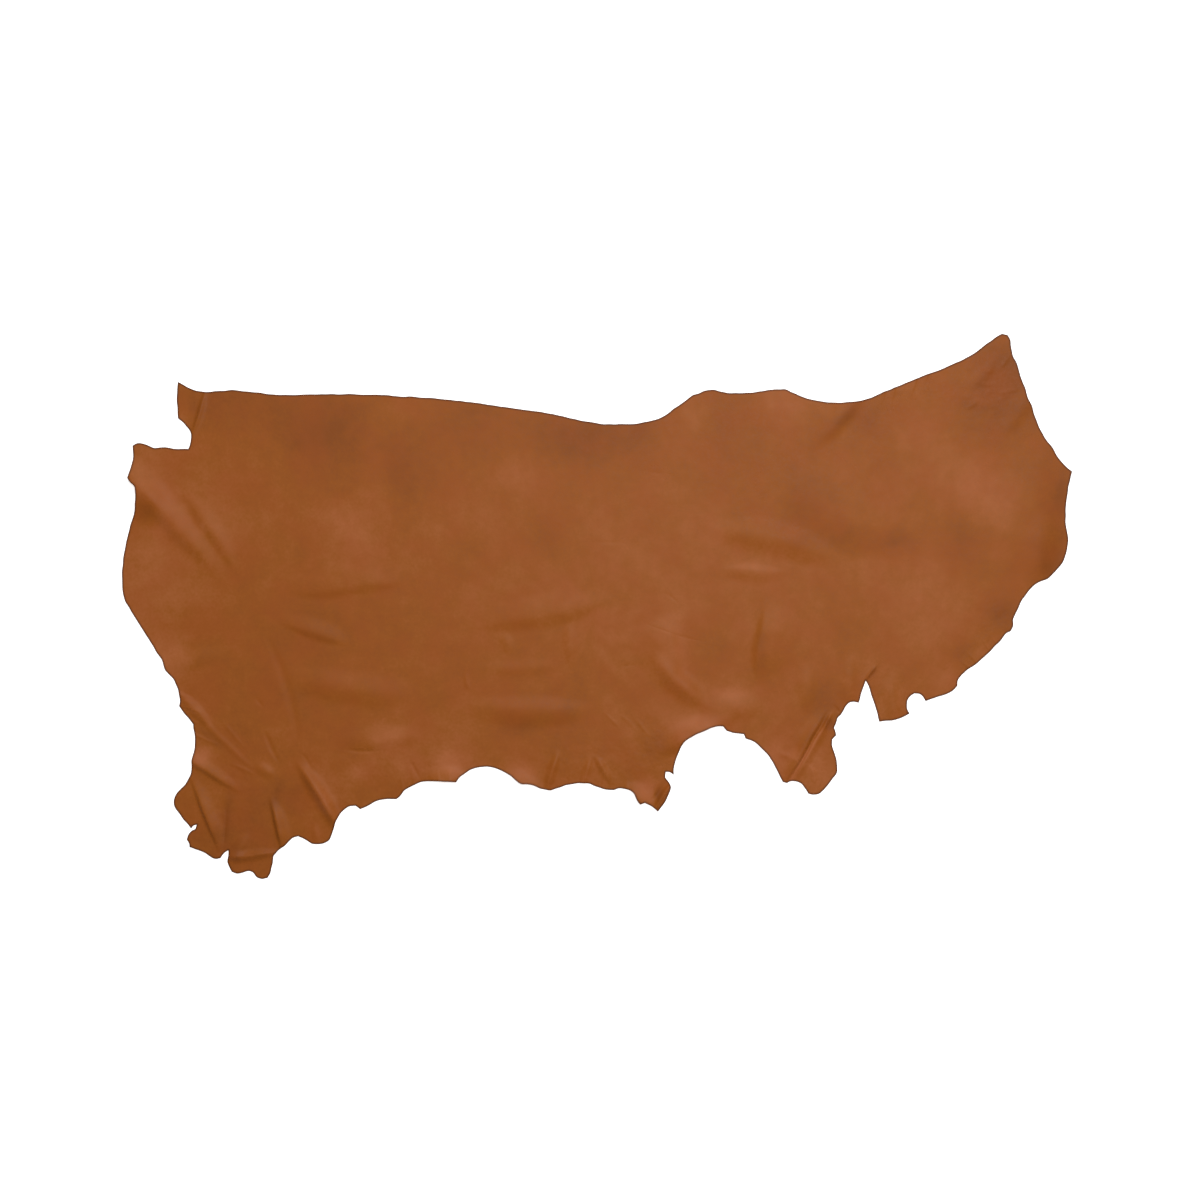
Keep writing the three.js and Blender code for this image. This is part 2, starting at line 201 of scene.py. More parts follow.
# The main folds of the frame's sheet
MAIN_FOLDS = (
    Fold("poll fold", (-967, 556), (-1019, 404), reach=13, rise=3, lean=0.2),
    Fold("cheek fold, lower", (-1205, 372), (-930, 65), reach=44, rise=7.5, lean=0.15, blunt=0.5),
    Fold("cheek dart", (-1240, 375), (-1066, 204), reach=72, rise=12, lean=0.05),
    Fold("cheek fold, upper", (-1044, 295), (-904, 87), reach=33, rise=4, bow=6, lean=0.25, blunt=0.7),
    Fold("throat fold", (-1118, -154), (-930, -109), reach=36, rise=2.5, blunt=0.9),
    Fold("shoulder line", (-785, 38), (-460, 68), reach=46, rise=4.2, lean=0.35, blunt=0.9),
    Fold("shoulder fold, short", (-800, -36), (-610, -98), reach=32, rise=3.4, bow=4, lean=0.3, blunt=0.8),
    Fold("shoulder fold, long", (-785, -177), (-440, -221), reach=50, rise=4.5, bow=-7, lean=0.05, blunt=0.9),
    Fold("shoulder swell", (-862, -396), (-800, -431), reach=20, rise=3, blunt=0.6),
    Fold("middle fold", (-335, -50), (64, 22), reach=46, rise=4.2, bow=-5, lean=0.2, blunt=0.9),
    Fold("middle fold, lower", (-315, -154), (-78, -154), reach=26, rise=1.4, blunt=0.9),
    Fold("middle pucker", (-72, -34), (-62, -159), reach=26, rise=3.2, blunt=0.8),
    Fold("belly fold", (-340, -252), (5, -252), reach=46, rise=5.2, bow=-8, lean=-0.1, blunt=0.9),
    Fold("belly swell", (-655, -339), (-418, -324), reach=38, rise=3, lean=0.2, blunt=0.9),
    Fold("belly lip, fore", (-442, -459), (-318, -424), reach=46, rise=13, blunt=0.5),
    Fold("belly lip, middle", (-250, -414), (-130, -471), reach=40, rise=9, blunt=0.5),
    Fold("belly pleat, fore", (-92, -352), (-132, -471), reach=17, rise=6, blunt=0.5),
    Fold("belly pleat, middle", (-8, -364), (-50, -469), reach=15, rise=3.5, blunt=0.7),
    Fold("belly pleat, hind", (-5, -369), (42, -454), reach=15, rise=4, blunt=0.6),
    Fold("loin fold", (262, 192), (622, 108), reach=50, rise=6, bow=21, lean=-0.05, blunt=0.9),
    Fold("loin fold, small", (302, 91), (480, 81), reach=27, rise=2.3, bow=3, lean=-0.3, blunt=0.9),
    Fold("hip swell", (426, 355), (780, 140), reach=105, rise=4.5, bow=-10, blunt=1.0),
    Fold("hip fold", (677, 556), (525, 383), reach=44, rise=4.8, lean=-0.1, blunt=0.8),
    Fold("flank step", (424, 31), (399, -199), reach=60, rise=6, lean=0.62, blunt=0.5),
    Fold("flank fold, upper", (178, -16), (190, -194), reach=75, rise=5.5, lean=-0.47, blunt=0.7),
    Fold("flank fold, lower", (128, -113), (288, -258), reach=40, rise=8, bow=-8, blunt=0.6),
    Fold("bay swell", (232, -264), (420, -249), reach=42, rise=3, blunt=0.9),
    Fold("bay lip", (130, -382), (352, -276), reach=42, rise=9, bow=8, lean=0.1, blunt=0.5),
    Fold("curled flap fold", (208, -413), (121, -538), reach=12, rise=7),
    Fold("curled flap lip", (70, -446), (128, -514), reach=40, rise=8, blunt=0.6),
    Fold("hind flap fold", (580, -251), (452, -459), reach=22, rise=7, lean=-0.45),
    Fold("hind flap rim", (599, -251), (471, -459), reach=15, rise=5, lean=0.45, blunt=0.3),
    Fold("hind flap root", (522, -134), (528, -271), reach=34, rise=3, blunt=0.9),
    Fold("slit fold, head side", (638, -109), (625, -271), reach=30, rise=3, blunt=0.9),
    Fold("slit fold, tail side", (735, -160), (748, -318), reach=28, rise=3, blunt=0.8),
    Fold("rump fold, upper", (1000, 620), (930, 540), reach=28, rise=2, blunt=0.7),
    Fold("rump fold, lower", (1106, 552), (1000, 420), reach=36, rise=2.2, lean=-0.2, blunt=0.9),
    Fold("butt swell", (1090, 420), (1080, 30), reach=120, rise=6, lean=-0.15, blunt=0.9),
    Fold("butt lip", (1130, 260), (1085, 30), reach=48, rise=3.5, blunt=0.8),
    Fold("brisket fold", (-1062, -200), (-958, -312), reach=20, rise=4.5, blunt=0.8),
    Fold("shank fold, middle", (-1010, -262), (-845, -422), reach=13, rise=1.2, blunt=0.6),
    Fold("shank fold, upper", (-1080, -346), (-880, -468), reach=22, rise=5.5, lean=0.3),
    Fold("shank fold, lower", (-1018, -414), (-938, -626), reach=25, rise=7, lean=0.5),
    Fold("toe notch", (-922, -654), (-872, -564), reach=24, rise=4, lean=0.2, blunt=0.9),
    Fold("toe fold, side", (-817, -471), (-782, -624), reach=22, rise=9, lean=0.4),
    Fold("toe fold", (-965, -628), (-765, -611), reach=17, rise=6, blunt=0.25),
    Fold("elbow fold", (-756, -382), (-624, -588), reach=30, rise=13, bow=4, lean=0.1, blunt=0.3),
)

# Wrinkles and old scratches of the grain alone, which the flesh side doesn't follow
WRINKLES = (
    Fold("shoulder crease", (-838, -54), (-750, -376), reach=20, rise=-1.2, bow=21),
    Fold("shoulder arc", (-745, -364), (-714, -414), reach=9, rise=-0.8, bow=5),
    Fold("shoulder tuck", (-838, -304), (-790, -404), reach=11, rise=-1.4),
    Fold("shank wrinkle, upper", (-951, -276), (-876, -359), reach=8, rise=0.6),
    Fold("shank wrinkle, lower", (-926, -384), (-851, -426), reach=8, rise=0.9),
    Fold("shank dash", (-860, -226), (-835, -254), reach=8, rise=-0.9),
    Fold("shank line", (-922, -496), (-937, -614), reach=8, rise=-1.2),
    Fold("elbow wrinkle", (-706, -535), (-701, -596), reach=14, rise=1.8),
    Fold("middle dimple", (-235, -64), (-218, -121), reach=24, rise=2.0, blunt=0.8),
    Fold("belly loop", (-322, -158), (-312, -216), reach=10, rise=0.9, bow=-6),
    Fold("belly line", (-648, -356), (-522, -359), reach=8, rise=-1.0),
    Fold("bay wrinkle, first", (16, -258), (62, -304), reach=8, rise=0.8),
    Fold("bay wrinkle, second", (56, -266), (102, -314), reach=8, rise=0.8, bow=4),
    Fold("bay wrinkle, third", (98, -276), (132, -326), reach=8, rise=0.8),
    Fold("belly tuck", (-470, -382), (-436, -438), reach=9, rise=-1.0),
    Fold("hind flap ridge", (526, -392), (540, -456), reach=12, rise=1.8, bow=7),
    Fold("hind flap step", (444, -358), (504, -388), reach=14, rise=0.9),
    Fold("hind flap tuck", (577, -276), (577, -316), reach=9, rise=-1.2),
    Fold("hind flap knuckle", (590, -262), (560, -318), reach=9, rise=3, lean=-0.2),
    Fold("hind flap nick line", (607, -271), (593, -243), reach=6, rise=-1.2),
    Fold("curled flap crease", (172, -438), (126, -491), reach=9, rise=-1.2, bow=5.5),
    Fold("slit line", (665, -190), (703, -140), reach=7, rise=2.2),
    Fold("poll line", (-970, 546), (-1016, 414), reach=8, rise=1.3),
    Fold("tail corner dash", (918, 487), (960, 518), reach=11, rise=1.0),
    Fold("tail corner arc, upper", (952, 585), (995, 582), reach=11, rise=0.9, bow=8),
    Fold("tail corner arc, lower", (952, 562), (995, 560), reach=11, rise=0.9, bow=-6),
    Fold("tail corner nick", (1038, 632), (1006, 594), reach=11, rise=0.8),
    Fold("tail corner wave", (998, 529), (1064, 541), reach=11, rise=0.8, bow=4),
    Fold("scratch, loin", (-20, 159), (98, 160), reach=5, rise=-0.5),
    Fold("scratch, back", (122, 334), (170, 331), reach=5, rise=-0.5),
    Fold("scratch, flank", (108, -37), (282, -88), reach=5, rise=-0.6, bow=-6),
    Fold("scratch, belly", (58, -150), (94, -140), reach=5, rise=-0.5),
    Fold("scratch, middle", (162, 36), (210, 2), reach=5, rise=-0.6, bow=5),
)


@dataclass(frozen=True)
class RippleRow:
    """A row of short ripples that run in from a stretch of the cut edge.

    Attributes:
        name: the stretch.
        first: where the first ripple meets the edge.
        last: where the last one does.
        inward: from the edge to a ripple's inner end.
        count: how many there are.
        reach: half the width of one.
        rise: its height.
    """

    name: str
    first: tuple[float, float]
    last: tuple[float, float]
    inward: tuple[float, float]
    count: int
    reach: float
    rise: float

    def folds(self) -> list[Fold]:
        """The ripples as folds, each a little longer or shorter than the one before it."""
        first = Vector(self.first)
        inward = Vector(self.inward)
        made = []
        for number in range(self.count):
            foot = first.lerp(Vector(self.last), number / (self.count - 1))
            length = 1.0 + RIPPLE_SPREAD * math.sin(RIPPLE_TURN * number)
            end = foot + inward * length
            start = foot - inward * length
            made.append(Fold(f"{self.name} {number}", tuple(start), tuple(end), self.reach, self.rise))
        return made


# Where the cut edge dried in ripples
RIPPLES = (
    RippleRow("rump", (722, 545), (828, 588), inward=(-12, -48), count=5, reach=7, rise=0.9),
    RippleRow("thigh", (935, -156), (1002, -98), inward=(-32, 34), count=5, reach=7, rise=0.9),
    RippleRow("brisket", (-1052, -215), (-1006, -320), inward=(58, -22), count=4, reach=8, rise=0.9),
    RippleRow("belly, hind", (-72, -446), (74, -456), inward=(6, 42), count=6, reach=8, rise=0.8),
    RippleRow("belly, fore", (-482, -458), (-362, -438), inward=(-10, 40), count=5, reach=8, rise=0.8),
)


@dataclass(frozen=True)
class Patch:
    """A soft oval on the grain that makes its colour darker or paler, as dye and as painted shade and
    highlights, or that crumples its surface.

    Attributes:
        name: where it is on the hide.
        centre: its middle.
        half: half its length and width.
        amount: how strong it is at its middle: for colour, below 0 is darker and above 0 is paler.
        turn: how far its length is turned from +X towards +Y, in degrees.
    """

    name: str
    centre: tuple[float, float]
    half: tuple[float, float]
    amount: float
    turn: float = 0.0

    def amounts(self, places: np.ndarray) -> np.ndarray:
        """Works out the patch's amount over places.

        Args:
            places: flat places as rows of x and y, in millimetres.

        Returns:
            The amount at each place.
        """
        way = np.array((math.cos(math.radians(self.turn)), math.sin(math.radians(self.turn))))
        left = np.array((-way[1], way[0]))
        offset = places - np.array(self.centre)
        along = offset @ way / self.half[0]
        across = offset @ left / self.half[1]
        return self.amount * np.exp(-(along**2) - across**2)


# Where the grain's colour is darker or paler than elsewhere: partly dye that took unevenly, partly painted
# light: painted shade in creases, dents and on the dark flanks of folds, painted highlights and sheen on lit
# flanks, glints and lifted edges, and broad painted light that evens out the lamps across the hide
DYE_AND_PAINTED_LIGHT_PATCHES = (
    Patch("shoulder, upper", (-655, 429), (105, 95), -0.65),
    Patch("neck, upper", (-735, 426), (45, 60), -0.3),
    Patch("ribs, upper", (-492, 336), (40, 80), -0.6),
    Patch("ribs, spot", (-425, 321), (35, 35), -0.4),
    Patch("middle, spot", (-115, 159), (50, 70), -0.4),
    Patch("back line dip", (-18, 411), (110, 60), -0.7),
    Patch("loin, upper", (110, 439), (35, 25), -0.4),
    Patch("belly, middle", (-130, -271), (120, 90), -0.4),
    Patch("belly, core", (-192, -299), (45, 20), -0.5),
    Patch("bay, corner", (150, -344), (40, 40), -0.8),
    Patch("flank", (308, -109), (75, 50), -0.4),
    # Painted shade on the dark flank of the flank step
    Patch("flank, step", (410, -85), (14, 70), -0.6),
    Patch("loin, band", (502, 190), (110, 45), -0.4),
    Patch("hind flap, root", (567, -231), (45, 45), -0.8),
    Patch("hip, lower", (755, 159), (60, 35), -0.8),
    Patch("hip, band", (650, 165), (90, 35), -0.4),
    Patch("butt, middle", (910, 146), (65, 80), -0.9),
    Patch("thigh, upper", (1007, -14), (50, 35), -0.8),
    Patch("thigh, lower", (905, -114), (35, 35), -0.7),
    Patch("tail corner", (1020, 589), (45, 50), -0.8),
    Patch("butt edge", (1150, 154), (45, 120), -0.4),
    Patch("toes", (-905, -600), (130, 80), -0.5),
    Patch("toe panel", (-860, -521), (45, 90), -0.2),
    Patch("elbow, fore", (-750, -484), (30, 40), -0.4),
    Patch("shank", (-950, -420), (180, 200), -0.15),
    Patch("shoulder, lower", (-700, -120), (250, 200), -0.25),
    # Painted shade in the hollow under the cheek dart
    Patch("cheek edge", (-1130, 236), (32, 30), -1.0),
    # Painted shade beside the toe notch
    Patch("toe notch", (-908, -611), (14, 14), -1.0),
    Patch("hip, middle", (525, 249), (60, 50), -0.5),
    Patch("shoulder, tuck", (-835, -401), (28, 25), 0.4),
    # Painted sheen on the brisket edge, where it faces the key light
    Patch("brisket edge", (-988, -372), (26, 28), 1.2),
    # Painted shade in the curled flap's crease
    Patch("curled flap, crease", (153, -470), (11, 17), -1.6),
    # Painted shade in the hind flap's dent
    Patch("hind flap, dent", (579, -295), (10, 14), -2.2),
    # Painted highlight: a glint on the hind flap
    Patch("hind flap, glint", (497, -374), (14, 18), 0.8),
    # Painted highlight along the hind flap's rim
    Patch("hind flap, rim", (533, -355), (90, 4), 1.3, turn=58),
    # Painted shade along the hind flap's fold
    Patch("hind flap, fold", (519, -347), (80, 8), -0.6, turn=58),
    # Painted shade on the dark flank of the hip fold
    Patch("hip fold", (622, 476), (55, 16), -1.0, turn=45),
    Patch("slit line", (688, -166), (20, 5), -1.5, turn=53),
    Patch("thigh lobe", (880, -182), (50, 35), 0.5),
    Patch("thigh edge", (957, -112), (40, 16), 0.5, turn=40),
    # Painted highlight beside the hind flap's fold
    Patch("hind flap, fore", (448, -372), (40, 50), 0.75),
    Patch("hind flap, lobe", (552, -400), (40, 75), 0.6),
    # Painted shade: a dark streak down the toe panel
    Patch("toe panel, line", (-924, -530), (75, 9), -0.7, turn=85),
    Patch("cheek, top", (-1122, 372), (45, 40), 0.45),
    Patch("throat edge, lower", (-1060, -130), (50, 70), 0.5),
    Patch("neck, middle", (-960, 280), (130, 120), 0.25),
    # Broad painted light that evens out the lamps: paler at the head end
    Patch("throat, broad", (-1120, 60), (130, 280), 0.5),
    # Paler towards the belly: partly real tone, partly painted light that evens out the lamps
    Patch("belly, broad", (0, -300), (700, 130), 0.1),
    Patch("rump, smudge", (927, 504), (25, 18), -0.4),
    Patch("tail corner, inner", (970, 554), (20, 30), -0.5),
    Patch("tail corner, broad", (1000, 520), (110, 150), -0.7),
    Patch("neck, top", (-900, 510), (160, 50), -0.5),
    Patch("poll", (-1032, 474), (20, 28), 0.5),
    Patch("back, fore", (-475, 496), (80, 50), 0.6),
    Patch("ribs, middle", (-602, 186), (90, 90), 0.6),
    Patch("belly, fore", (-525, -326), (45, 28), 0.6),
    # Painted sheen on the lifted belly edges and the bay rim
    Patch("belly edge, fore", (-368, -391), (38, 30), 1.1),
    Patch("belly edge, middle", (-190, -411), (32, 26), 1.0),
    Patch("bay rim", (232, -291), (55, 25), 0.95),
    # Painted highlights on the lit flanks of folds and on the curled flap's glint
    Patch("bay, upper", (332, -216), (50, 18), 0.8),
    Patch("flank, streak", (208, -109), (18, 60), 0.5),
    Patch("curled flap", (128, -463), (22, 26), 1.8),
    Patch("loin, streak", (388, 101), (38, 14), 0.4),
    Patch("back, middle", (-218, 329), (60, 50), 0.5),
    Patch("loin edge", (245, 471), (45, 55), 0.6),
    # Painted sheen on the hip edge
    Patch("hip edge", (487, 509), (90, 55), 0.6),
    Patch("rump", (825, 444), (80, 80), 0.4),
    Patch("butt, upper", (985, 291), (100, 130), 0.9),
    Patch("thigh", (840, 6), (95, 105), 0.6),
    Patch("butt, spot", (1002, 129), (35, 30), 0.4),
    Patch("loin, broad", (180, 100), (380, 280), 0.25),
    Patch("loin, hind", (420, 320), (210, 110), -0.2),
    Patch("butt, lower", (800, 140), (190, 80), 0.2),
    Patch("shank, web", (-800, -470), (40, 14), -0.6, turn=70),
    Patch("shank, hollow", (-960, -330), (60, 12), -0.5, turn=-40),
    # Broad painted shade that evens out the lamps: darker towards the back line, nearest the key light
    Patch("back line, broad", (-200, 480), (700, 120), -0.5),
    Patch("butt, broad", (1110, 280), (110, 330), -0.5),
    Patch("butt rim, upper", (1162, 266), (18, 60), -0.6),
    Patch("butt rim, lower", (1138, 104), (28, 30), -0.8),
    # Painted shade: the hip fold's second dark band
    Patch("hip, upper", (672, 466), (30, 30), -0.5),
    # Painted sheen on the belly edge and the elbow edge
    Patch("belly edge, elbow side", (-592, -414), (35, 25), 0.8),
    Patch("belly edge, notch", (-470, -396), (60, 35), 0.6),
    Patch("elbow edge", (-680, -484), (25, 30), 0.4),
)

# Where the thin skin near the cut edge dried crumpled
CRUMPLES = (
    Patch("tail corner", (985, 540), (90, 110), 0.6),
    Patch("thigh edge", (985, -90), (70, 110), 0.8),
    Patch("rump edge", (780, 540), (110, 40), 0.6),
    Patch("shank", (-930, -480), (110, 150), 0.8),
    Patch("elbow", (-690, -480), (70, 90), 0.7),
    Patch("brisket", (-1020, -260), (60, 80), 0.6),
    Patch("belly edge, fore", (-500, -400), (180, 60), 0.7),
    Patch("belly edge, hind", (0, -400), (170, 80), 0.9),
    Patch("bay corner", (140, -330), (60, 80), 0.8),
    Patch("hind flap", (520, -400), (70, 80), 0.9),
    Patch("slit", (700, -220), (100, 70), 0.6),
)

# How far the folds stray from their ruled lines, and the length of one such stray
FOLD_STRAYS = ((8.0, 130.0), (1.8, 45.0))


def strayed(places: np.ndarray) -> np.ndarray:
    """Moves places a little, so that the lines of the folds come out as uneven as real ones.

    Args:
        places: flat places as rows of x and y, in millimetres.

    Returns:
        The moved places.
    """
    moved = np.array(places)
    for far, length in FOLD_STRAYS:
        moved += far * np.array([noise.noise_vector((x / length, y / length, 0.0)).xy for x, y in places])
    return moved


def sheet_height(places: np.ndarray) -> np.ndarray:
    """Works out how far the main folds lift the sheet.

    Args:
        places: strayed places as rows of x and y, in millimetres.

    Returns:
        The height of the flesh side at each place, in millimetres.
    """
    return sum(fold.height(places) for fold in MAIN_FOLDS)


@dataclass
class LeatherSide:
    """The half hide: one sheet of leather with its folds, wrinkles and natural cut edge.

    Attributes:
        thickness: of the leather, in millimetres.
        plain_step: the longest mesh edge on the flat grain.
        flesh_coarseness: how much wider apart the flesh side's mesh is.
        passes: how often the mesh is split at most.
        smoothings: how often the split mesh is evened out.
        smoothing_share: how far a vertex goes towards its neighbours each time.
        edge_parts: the parts that each side of the frame's cut edge is split into.
        corner_turn: the turn, in degrees, past which the cut edge keeps a corner.
        waver: how far the knife strayed along the cut edge.
        waver_length: the length of one such stray.
        deepest_wrinkle: how far a wrinkle may sink into the grain.
    """

    thickness: float = 2.0
    plain_step: float = 11.5
    flesh_coarseness: float = 3.0
    passes: int = 5
    smoothings: int = 2
    smoothing_share: float = 0.5
    edge_parts: int = 3
    corner_turn: float = 35.0
    waver: float = 1.6
    waver_length: float = 22.0
    deepest_wrinkle: float = 1.2

    def build(self) -> bpy.types.Object:
        """Returns:
            The finished piece.
        """
        grain = self.grain_face()
        self.draw_cut_edge(grain)
        outline = self.outline(grain)
        self.refine(grain, MAIN_FOLDS, self.flesh_coarseness)
        flesh = grain.copy()
        self.refine(grain, (*MAIN_FOLDS, *self.wrinkles()), 1.0)
        self.lift(flesh, Face.FLESH)
        self.lift(grain, Face.GRAIN)
        self.close(grain, flesh)
        piece = self.as_piece(grain)
        self.mark(piece, outline)
        self.dress(piece)
        self.declare(piece, outline)
        return piece

    def wrinkles(self) -> list[Fold]:
        """All the wrinkles and ripples of the grain."""
        return [*WRINKLES, *(fold for row in RIPPLES for fold in row.folds())]

    def grain_face(self) -> bmesh.types.BMesh:
        """Takes the upper face of the frame's sheet, pressed flat.

        Returns:
            The face as a mesh of triangles with an open rim.
        """
        bm = bmesh.new()
        bm.from_mesh(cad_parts[NODE].data)
        bmesh.ops.remove_doubles(bm, verts=bm.verts, dist=WELD_GAP * MM)
        bm.normal_update()
        under = [face for face in bm.faces if face.normal.z < UPWARD]
        bmesh.ops.delete(bm, geom=under, context="FACES")
        for vert in bm.verts:
            vert.co.z = 0.0
        return bm

    def rim_loops(self, bm: bmesh.types.BMesh) -> dict[bmesh.types.BMVert, bmesh.types.BMVert]:
        """Follows the open rim of a face.

        Args:
            bm: the face.

        Returns:
            For each vertex of the rim, the next one round it.
        """
        loops = (edge.link_loops[0] for edge in bm.edges if edge.is_boundary)
        return {loop.vert: loop.link_loop_next.vert for loop in loops}

    def draw_cut_edge(self, bm: bmesh.types.BMesh) -> None:
        """Draws the cut edge as curves between its corners, with the stray of a hand-held knife.

        Args:
            bm: the grain face, which is changed.
        """
        after = self.rim_loops(bm)
        before = {vert: last for last, vert in after.items()}
        ways: dict[bmesh.types.BMVert, Vector | None] = {}
        for vert, following in after.items():
            arriving = vert.co - before[vert].co
            leaving = following.co - vert.co
            is_corner = arriving.angle(leaving) > math.radians(self.corner_turn)
            ways[vert] = None if is_corner else (following.co - before[vert].co).normalized()
        ends = {vert: vert.co.copy() for vert in after}
        for vert, following in after.items():
            chord = ends[following] - ends[vert]
            leave = (ways[vert] or chord.normalized()) * chord.length
            arrive = (ways[following] or chord.normalized()) * chord.length
            last = vert
            for part in range(1, self.edge_parts):
                share = part / self.edge_parts
                edge = bm.edges.get((last, following))
                rest = 1.0 / (self.edge_parts - part + 1)
                _, last = bmesh.utils.edge_split(edge, last, rest)
                last.co = (
                    ends[vert]
                    + chord * (share**2 * (3.0 - 2.0 * share))
                    + leave * (share * (1.0 - share) ** 2)
                    - arrive * (share**2 * (1.0 - share))
                )
        for vert in self.rim_loops(bm):
            stray = noise.noise_vector(vert.co / (self.waver_length * MM)) * self.waver * MM
            vert.co += Vector((stray.x, stray.y, 0.0))
        bmesh.ops.triangulate(bm, faces=bm.faces, quad_method="BEAUTY", ngon_method="BEAUTY")

    def outline(self, bm: bmesh.types.BMesh) -> list[Vector]:
        """Reads the cut edge.

        Args:
            bm: the grain face.

        Returns:
            The points of the cut edge, in order round it, in metres.
        """
        after = self.rim_loops(bm)
        first = next(iter(after))
        points = [first.co.copy()]
        vert = after[first]
        while vert is not first:
            points.append(vert.co.copy())
            vert = after[vert]
        return points

    def refine(self, bm: bmesh.types.BMesh, folds: tuple[Fold, ...], coarseness: float) -> None:
        """Splits the mesh until it can show its folds, leaving its rim as it is.

        Args:
            bm: the face, which is changed.
            folds: the folds and wrinkles that it has.
            coarseness: how many times wider apart than on the grain side its mesh may be away from them.
        """
        plain = self.plain_step * coarseness
        for _ in range(self.passes):
            inner = [edge for edge in bm.edges if not edge.is_boundary]
            ends = np.array([[*edge.verts[0].co.xy, *edge.verts[1].co.xy] for edge in inner]) / MM
            lengths = np.hypot(ends[:, 0] - ends[:, 2], ends[:, 1] - ends[:, 3])
            middles = strayed((ends[:, :2] + ends[:, 2:]) / 2.0)
            wanted = np.full(len(inner), plain)
            for fold in folds:
                wanted = np.minimum(wanted, fold.spacing(middles, plain))
            long = [edge for edge, is_long in zip(inner, lengths > wanted) if is_long]
            bmesh.ops.subdivide_edges(bm, edges=long, cuts=1, use_single_edge=True, use_grid_fill=True)
            wide = [face for face in bm.faces if len(face.verts) > 3]
            bmesh.ops.triangulate(bm, faces=wide, quad_method="BEAUTY", ngon_method="BEAUTY")
            inner = [edge for edge in bm.edges if not edge.is_boundary]
            bmesh.ops.beautify_fill(bm, faces=bm.faces, edges=inner, method="AREA")
        loose = [vert for vert in bm.verts if not vert.is_boundary]
        share = self.smoothing_share
        for _ in range(self.smoothings):
            bmesh.ops.smooth_vert(bm, verts=loose, factor=share, use_axis_x=True, use_axis_y=True)

    def lift(self, bm: bmesh.types.BMesh, face: Face) -> None:
        """Raises one side of the sheet over its folds.

        Args:
            bm: the face, which is changed.
            face: the side that it is.
        """
        places = strayed(np.array([vert.co.xy for vert in bm.verts]) / MM)
        heights = sheet_height(places)
        if face is Face.GRAIN:
            relief = sum(fold.height(places) for fold in self.wrinkles())
            heights = heights + self.thickness + np.maximum(relief, -self.deepest_wrinkle)
        else:
            bmesh.ops.reverse_faces(bm, faces=bm.faces)
        for vert, height in zip(bm.verts, heights):
            vert.co.z = height * MM
        for side in bm.faces:
            side.material_index = face
            side.smooth = True

    def close(self, grain: bmesh.types.BMesh, flesh: bmesh.types.BMesh) -> None:
        """Joins the two sides by the cut edge.

        Args:
            grain: the grain side, which takes in the rest.
            flesh: the flesh side, which is freed.
        """
        rim = [edge for edge in grain.edges if edge.is_boundary]
        wall = bmesh.ops.extrude_edge_only(grain, edges=rim)["geom"]
        foot = [part for part in wall if isinstance(part, bmesh.types.BMVert)]
        heights = sheet_height(strayed(np.array([vert.co.xy for vert in foot]) / MM))
        for vert, height in zip(foot, heights):
            vert.co.z = height * MM
        for part in wall:
            if isinstance(part, bmesh.types.BMFace):
                part.material_index = Face.CUT_EDGE
                part.smooth = True
        for edge in rim:
            edge.smooth = False
        spare = bpy.data.meshes.new("flesh")
        flesh.to_mesh(spare)
        flesh.free()
        grain.from_mesh(spare)
        bpy.data.meshes.remove(spare)
        rims = [vert for vert in grain.verts if vert.is_boundary]
        bmesh.ops.remove_doubles(grain, verts=rims, dist=WELD_GAP * MM)
        bmesh.ops.recalc_face_normals(grain, faces=grain.faces)

    def as_piece(self, bm: bmesh.types.BMesh) -> bpy.types.Object:
        """Makes the finished mesh an object of the scene.

        Args:
            bm: the closed sheet, which is freed.

        Returns:
            The piece.
        """
        mesh = bpy.data.meshes.new("half_hide")
        bm.to_mesh(mesh)
        bm.free()
        piece = bpy.data.objects.new("half_hide", mesh)
        bpy.context.scene.collection.objects.link(piece)
        mesh.calc_loop_triangles()
        LOG.info("half_hide: %d triangles", len(mesh.loop_triangles))
        return piece

    def mark(self, piece: bpy.types.Object, outline: list[Vector]) -> None:
        """Writes on each vertex how far it is from the cut edge, how dark or pale its dye and painted light
        make it, and how crumpled it is.

        Args:
            piece: the sheet.
            outline: the points of its cut edge.
        """
        tree = kdtree.KDTree(len(outline))
        for number, point in enumerate(outline):
            tree.insert(point, number)
        tree.balance()
        gaps = []
        for vert in piece.data.vertices:
            place = Vector((vert.co.x, vert.co.y, 0.0))
            _, number, gap = tree.find(place)
            for step in (-1, 1):
                beside = outline[(number + step) % len(outline)]
                foot, share = geometry.intersect_point_line(place, outline[number], beside)
                if 0.0 < share < 1.0:
                    gap = min(gap, (foot - place).length)
            gaps.append(gap)
        places = np.array([vert.co.xy for vert in piece.data.vertices]) / MM
        tones = sum(patch.amounts(places) for patch in DYE_AND_PAINTED_LIGHT_PATCHES)
        crumples = sum(patch.amounts(places) for patch in CRUMPLES)
        for name, values in ((Sheet.EDGE_GAP, gaps), (Sheet.TONE, tones), (Sheet.CRUMPLE, crumples)):
            layer = piece.data.attributes.new(name.value, "FLOAT", "POINT")
            layer.data.foreach_set("value", np.asarray(values, dtype=np.float32))

    def dress(self, piece: bpy.types.Object) -> None:
        """Gives each face of the sheet its finish, in the order of the slots.

        Args:
            piece: the sheet.
        """
        for finish in (GrainFinish(), FleshFinish(), CutEdgeFinish()):
            piece.data.materials.append(finish.material())

